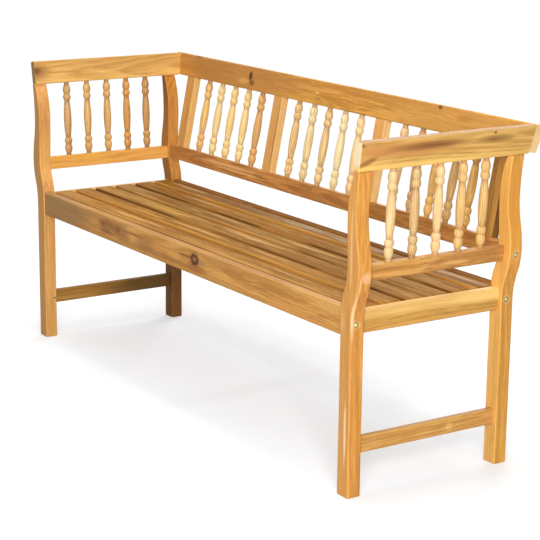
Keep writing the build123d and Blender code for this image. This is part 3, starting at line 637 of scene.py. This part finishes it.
# Stiles: flat uprights tenoned into both rails between the bays of spindles. The first has two pin
# knots, the second a dark line down its edge. The first three have painted light on their right
# sides and painted shade on their fronts. The fourth is darker all over and darkest on its right
# side, painted shade from the rear post beside it.
# The fourth's darker tone is painted shade.
stile_tones = ((224, 170, 96), (226, 173, 102), (255, 193, 118), (171, 124, 56))
right_side, sitter_side = (0.0, 1.0, 0.0), (0.0, 0.0, -1.0)
for number, tone in enumerate(stile_tones, start=1):
    painted_light_side = (tone[0] * 1.05, tone[1] * 1.1, tone[2] * 1.18)
    painted_shade_front = (tone[0] * 0.94, tone[1] * 0.9, tone[2] * 0.84)
    if number == 4:
        # Painted shade on the right side, beside the rear post.
        faces = (Face(right_side, (112, 74, 34), strength=0.9),)
    else:
        # Painted light on the right side, painted shade on the front.
        faces = (Face(right_side, painted_light_side, 0.9), Face(sitter_side, painted_shade_front, 0.7))
    timber(
        f"back_stile_{number}", slope, lengthwise, tone, seed=number * 2.7,
        contrast=1.8, worn_and_highlight=0.5, faces=faces,
        rings=Rings(pith=(0.03, -0.03), climb=0.01, spacing=0.008, strength=0.3),
        marks=(Mark((0.0, 0.016), (0.12, 0.003), (168, 106, 56), 0.8),) if number == 2 else (),
        knots=(Knot((0.004, 0.010), 0.0014), Knot((-0.010, 0.011), 0.0016)) if number == 1 else (),
    )

# Spindles of the back: the same turning as in the arms, five in each bay, picked from timber of
# mixed tones and set square to the leaning rails.
left_side = (0.0, -1.0, 0.0)
back_tones = (
    (229, 184, 118), (255, 232, 172), (255, 225, 154), (246, 220, 156), (211, 165, 101),
    (224, 187, 127), (225, 202, 150), (225, 191, 136), (255, 239, 188), (251, 218, 161),
    (255, 218, 157), (242, 197, 145), (255, 207, 123), (212, 173, 114), (229, 183, 107),
)
for number, tone in enumerate(back_tones, start=1):
    spindle(f"back_spindle_{number}", slope, lengthwise, tone, number * 1.1, painted_shade_side=left_side)


# Metal: zinc-plated bolts and nuts, steel pins and yellow screws, a little dulled. Each kind has
# one plating for all its pieces.
def plate(names, colour, dull, roughness, metal=1.0):
    """Plating that turns from its colour to a duller one in small patches."""
    steel = bpy.data.materials.new(names[0] + "_plate")
    start = emptied(steel)
    specks_per_metre = (420.0, 420.0, 420.0)
    wear = start.node("TexCoord", {}, {}, "Object").stretched(specks_per_metre).noise(3.0)
    relief = start.node("Bump", {}, {"Strength": 0.2, "Distance": 0.0002, "Height": wear})
    shader = start.node("BsdfPrincipled", {}, {
        "Base Color": (wear.between(0.4, 0.7) * 0.6).tint(colour, dull),
        "Metallic": metal,
        "Roughness": wear * 0.25 + roughness,
        "Normal": relief,
    })
    start.node("OutputMaterial", {}, {"Surface": shader})
    for name in names:
        dress(name, steel)


plate(("frame_bolts",), stain(226, 222, 176), stain(148, 138, 88), roughness=0.28, metal=0.7)
plate(("barrel_nuts",), stain(190, 186, 176), stain(130, 124, 112), roughness=0.3)
plate(("stretcher_pins",), stain(110, 98, 82), stain(58, 46, 36), roughness=0.4)
plate(("seat_screws", "arm_screws"), stain(206, 190, 140), stain(150, 128, 84), roughness=0.28)

# Dowels: plain birch, glued into the ends of the seat rails and the tops of the posts, out of sight
# in the joints.
timber(
    "dowels", lengthwise, sideways, tone=(232, 206, 162), seed=3.0,
    contrast=0.6, worn_and_highlight=0.0, ends=0.0,
)

# Studio floor: a pale sheet that keeps the bench's shadow. Its own glow lifts it near to white, and
# it fades into plain white further off.
half_width = 40.0
floor_mesh = bpy.data.meshes.new("floor")
floor_form = bmesh.new()
bmesh.ops.create_grid(floor_form, x_segments=1, y_segments=1, size=half_width)
floor_form.to_mesh(floor_mesh)
floor_form.free()
floor = bpy.data.objects.new("floor", floor_mesh)
bpy.context.scene.collection.objects.link(floor)
paper = bpy.data.materials.new("floor_paper")
start = emptied(paper)
white = (1.0, 1.0, 1.0, 1.0)
fade_begin, fade_end = 0.9, 1.7
seen = start.node("LightPath", {}, {}, "Is Camera Ray")
east, north, _ = start.node("TexCoord", {}, {}, "Object").parts()
away = (east * east * 0.55 + north * north) ** 0.5
bounced = start.node("BsdfDiffuse", {}, {"Color": (0.45, 0.45, 0.45, 1.0)})
lit = start.node("BsdfDiffuse", {}, {"Color": (0.77, 0.785, 0.80, 1.0)})
glow = start.node("Emission", {}, {"Color": white, "Strength": 0.34})
bare = start.node("Emission", {}, {"Color": white, "Strength": 1.02})
near = start.node("AddShader", {}, {0: lit, 1: glow})
shown = away.between(fade_begin, fade_end).blend(near, bare)
start.node("OutputMaterial", {}, {"Surface": seen.blend(bounced, shown)})
floor_mesh.materials.append(paper)

# Lamps: a softbox straight above within a wide one, a third at the front right, a weak one behind.
# Each has its power in watts, its width, its place and the point that it looks at.
for name, power, size, at, aim in (
    ("top_box", 46.0, 0.7, (0.05, -0.05, 4.5), (0.05, 0.0, 0.4)),
    ("ceiling_box", 54.0, 3.6, (-0.8, 0.0, 4.2), (0.0, 0.0, 0.4)),
    ("front_box", 200.0, 1.8, (3.85, -2.5, 1.6), (-0.1, 0.0, 0.4)),
    ("back_box", 55.0, 2.0, (-2.6, 3.2, 2.4), (0.0, 0.0, 0.4)),
):
    lamp = bpy.data.lights.new(name, "AREA")
    lamp.shape, lamp.size, lamp.energy = "SQUARE", size, power
    box = bpy.data.objects.new(name, lamp)
    look = (Vector(at) - Vector(aim)).to_track_quat("Z", "Y")
    box.matrix_world = Matrix.Translation(at) @ look.to_matrix().to_4x4()
    bpy.context.scene.collection.objects.link(box)

# Room: a dim, even light all round. Straight on, and in metal or glass, it shows as plain white.
world = bpy.data.worlds.new("room")
bpy.context.scene.world = world
start = emptied(world)
straight = start.node("LightPath", {}, {}, "Is Camera Ray")
glossy, through = straight.beside("Is Glossy Ray"), straight.beside("Is Transmission Ray")
seen = start.sum("MAXIMUM", straight, start.sum("MAXIMUM", glossy, through))
room = start.node("Background", {}, {"Color": (0.97, 0.985, 1.0, 1.0), "Strength": 0.28})
backdrop = start.node("Background", {}, {"Color": white, "Strength": 1.0})
start.node("OutputWorld", {}, {"Surface": seen.blend(room, backdrop)})

bpy.context.scene.view_settings.view_transform = "Standard"
